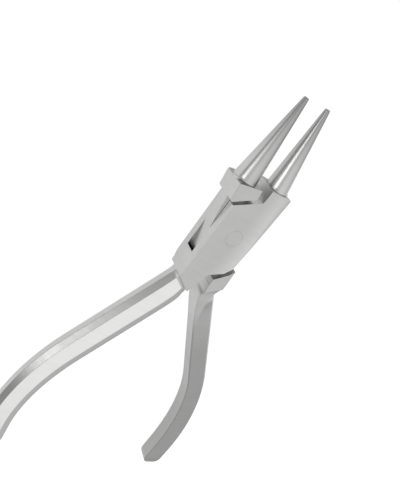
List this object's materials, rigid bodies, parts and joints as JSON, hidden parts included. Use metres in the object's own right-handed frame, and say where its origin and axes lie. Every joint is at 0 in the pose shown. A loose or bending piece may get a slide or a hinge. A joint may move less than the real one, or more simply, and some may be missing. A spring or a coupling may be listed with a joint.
{
  "type": "round nose pliers",
  "caption": "Round nose pliers with a box joint: two tapered round jaws, a slotted half and a tongue half turning on a flush pin, and long bowed plain steel handles.",
  "frame": {"origin": "on the joint pin's axis, at the joint's back face", "axes": "+Z along the joint pin from the back face to the front face, +Y along the centre line from the pin to the jaw tips"},
  "size_m": [0.0683, 0.135, 0.0085],
  "materials": {
    "box_steel": "satin ground stainless steel",
    "tongue_steel": "satin ground stainless steel",
    "pin_steel": "ground flush with the joint faces"
  },
  "bodies": {
    "slotted_body": {"box_half": "box_steel", "joint_pin": "pin_steel"},
    "tongue_body": {"tongue_half": "tongue_steel"}
  },
  "joints": [
    {"name": "pivot", "type": "hinge", "parent": "slotted_body", "child": "tongue_body", "pos_m": [0, 0, 0], "axis": [0, 0, 1], "range_deg": [-8.4, 16]}
  ]
}
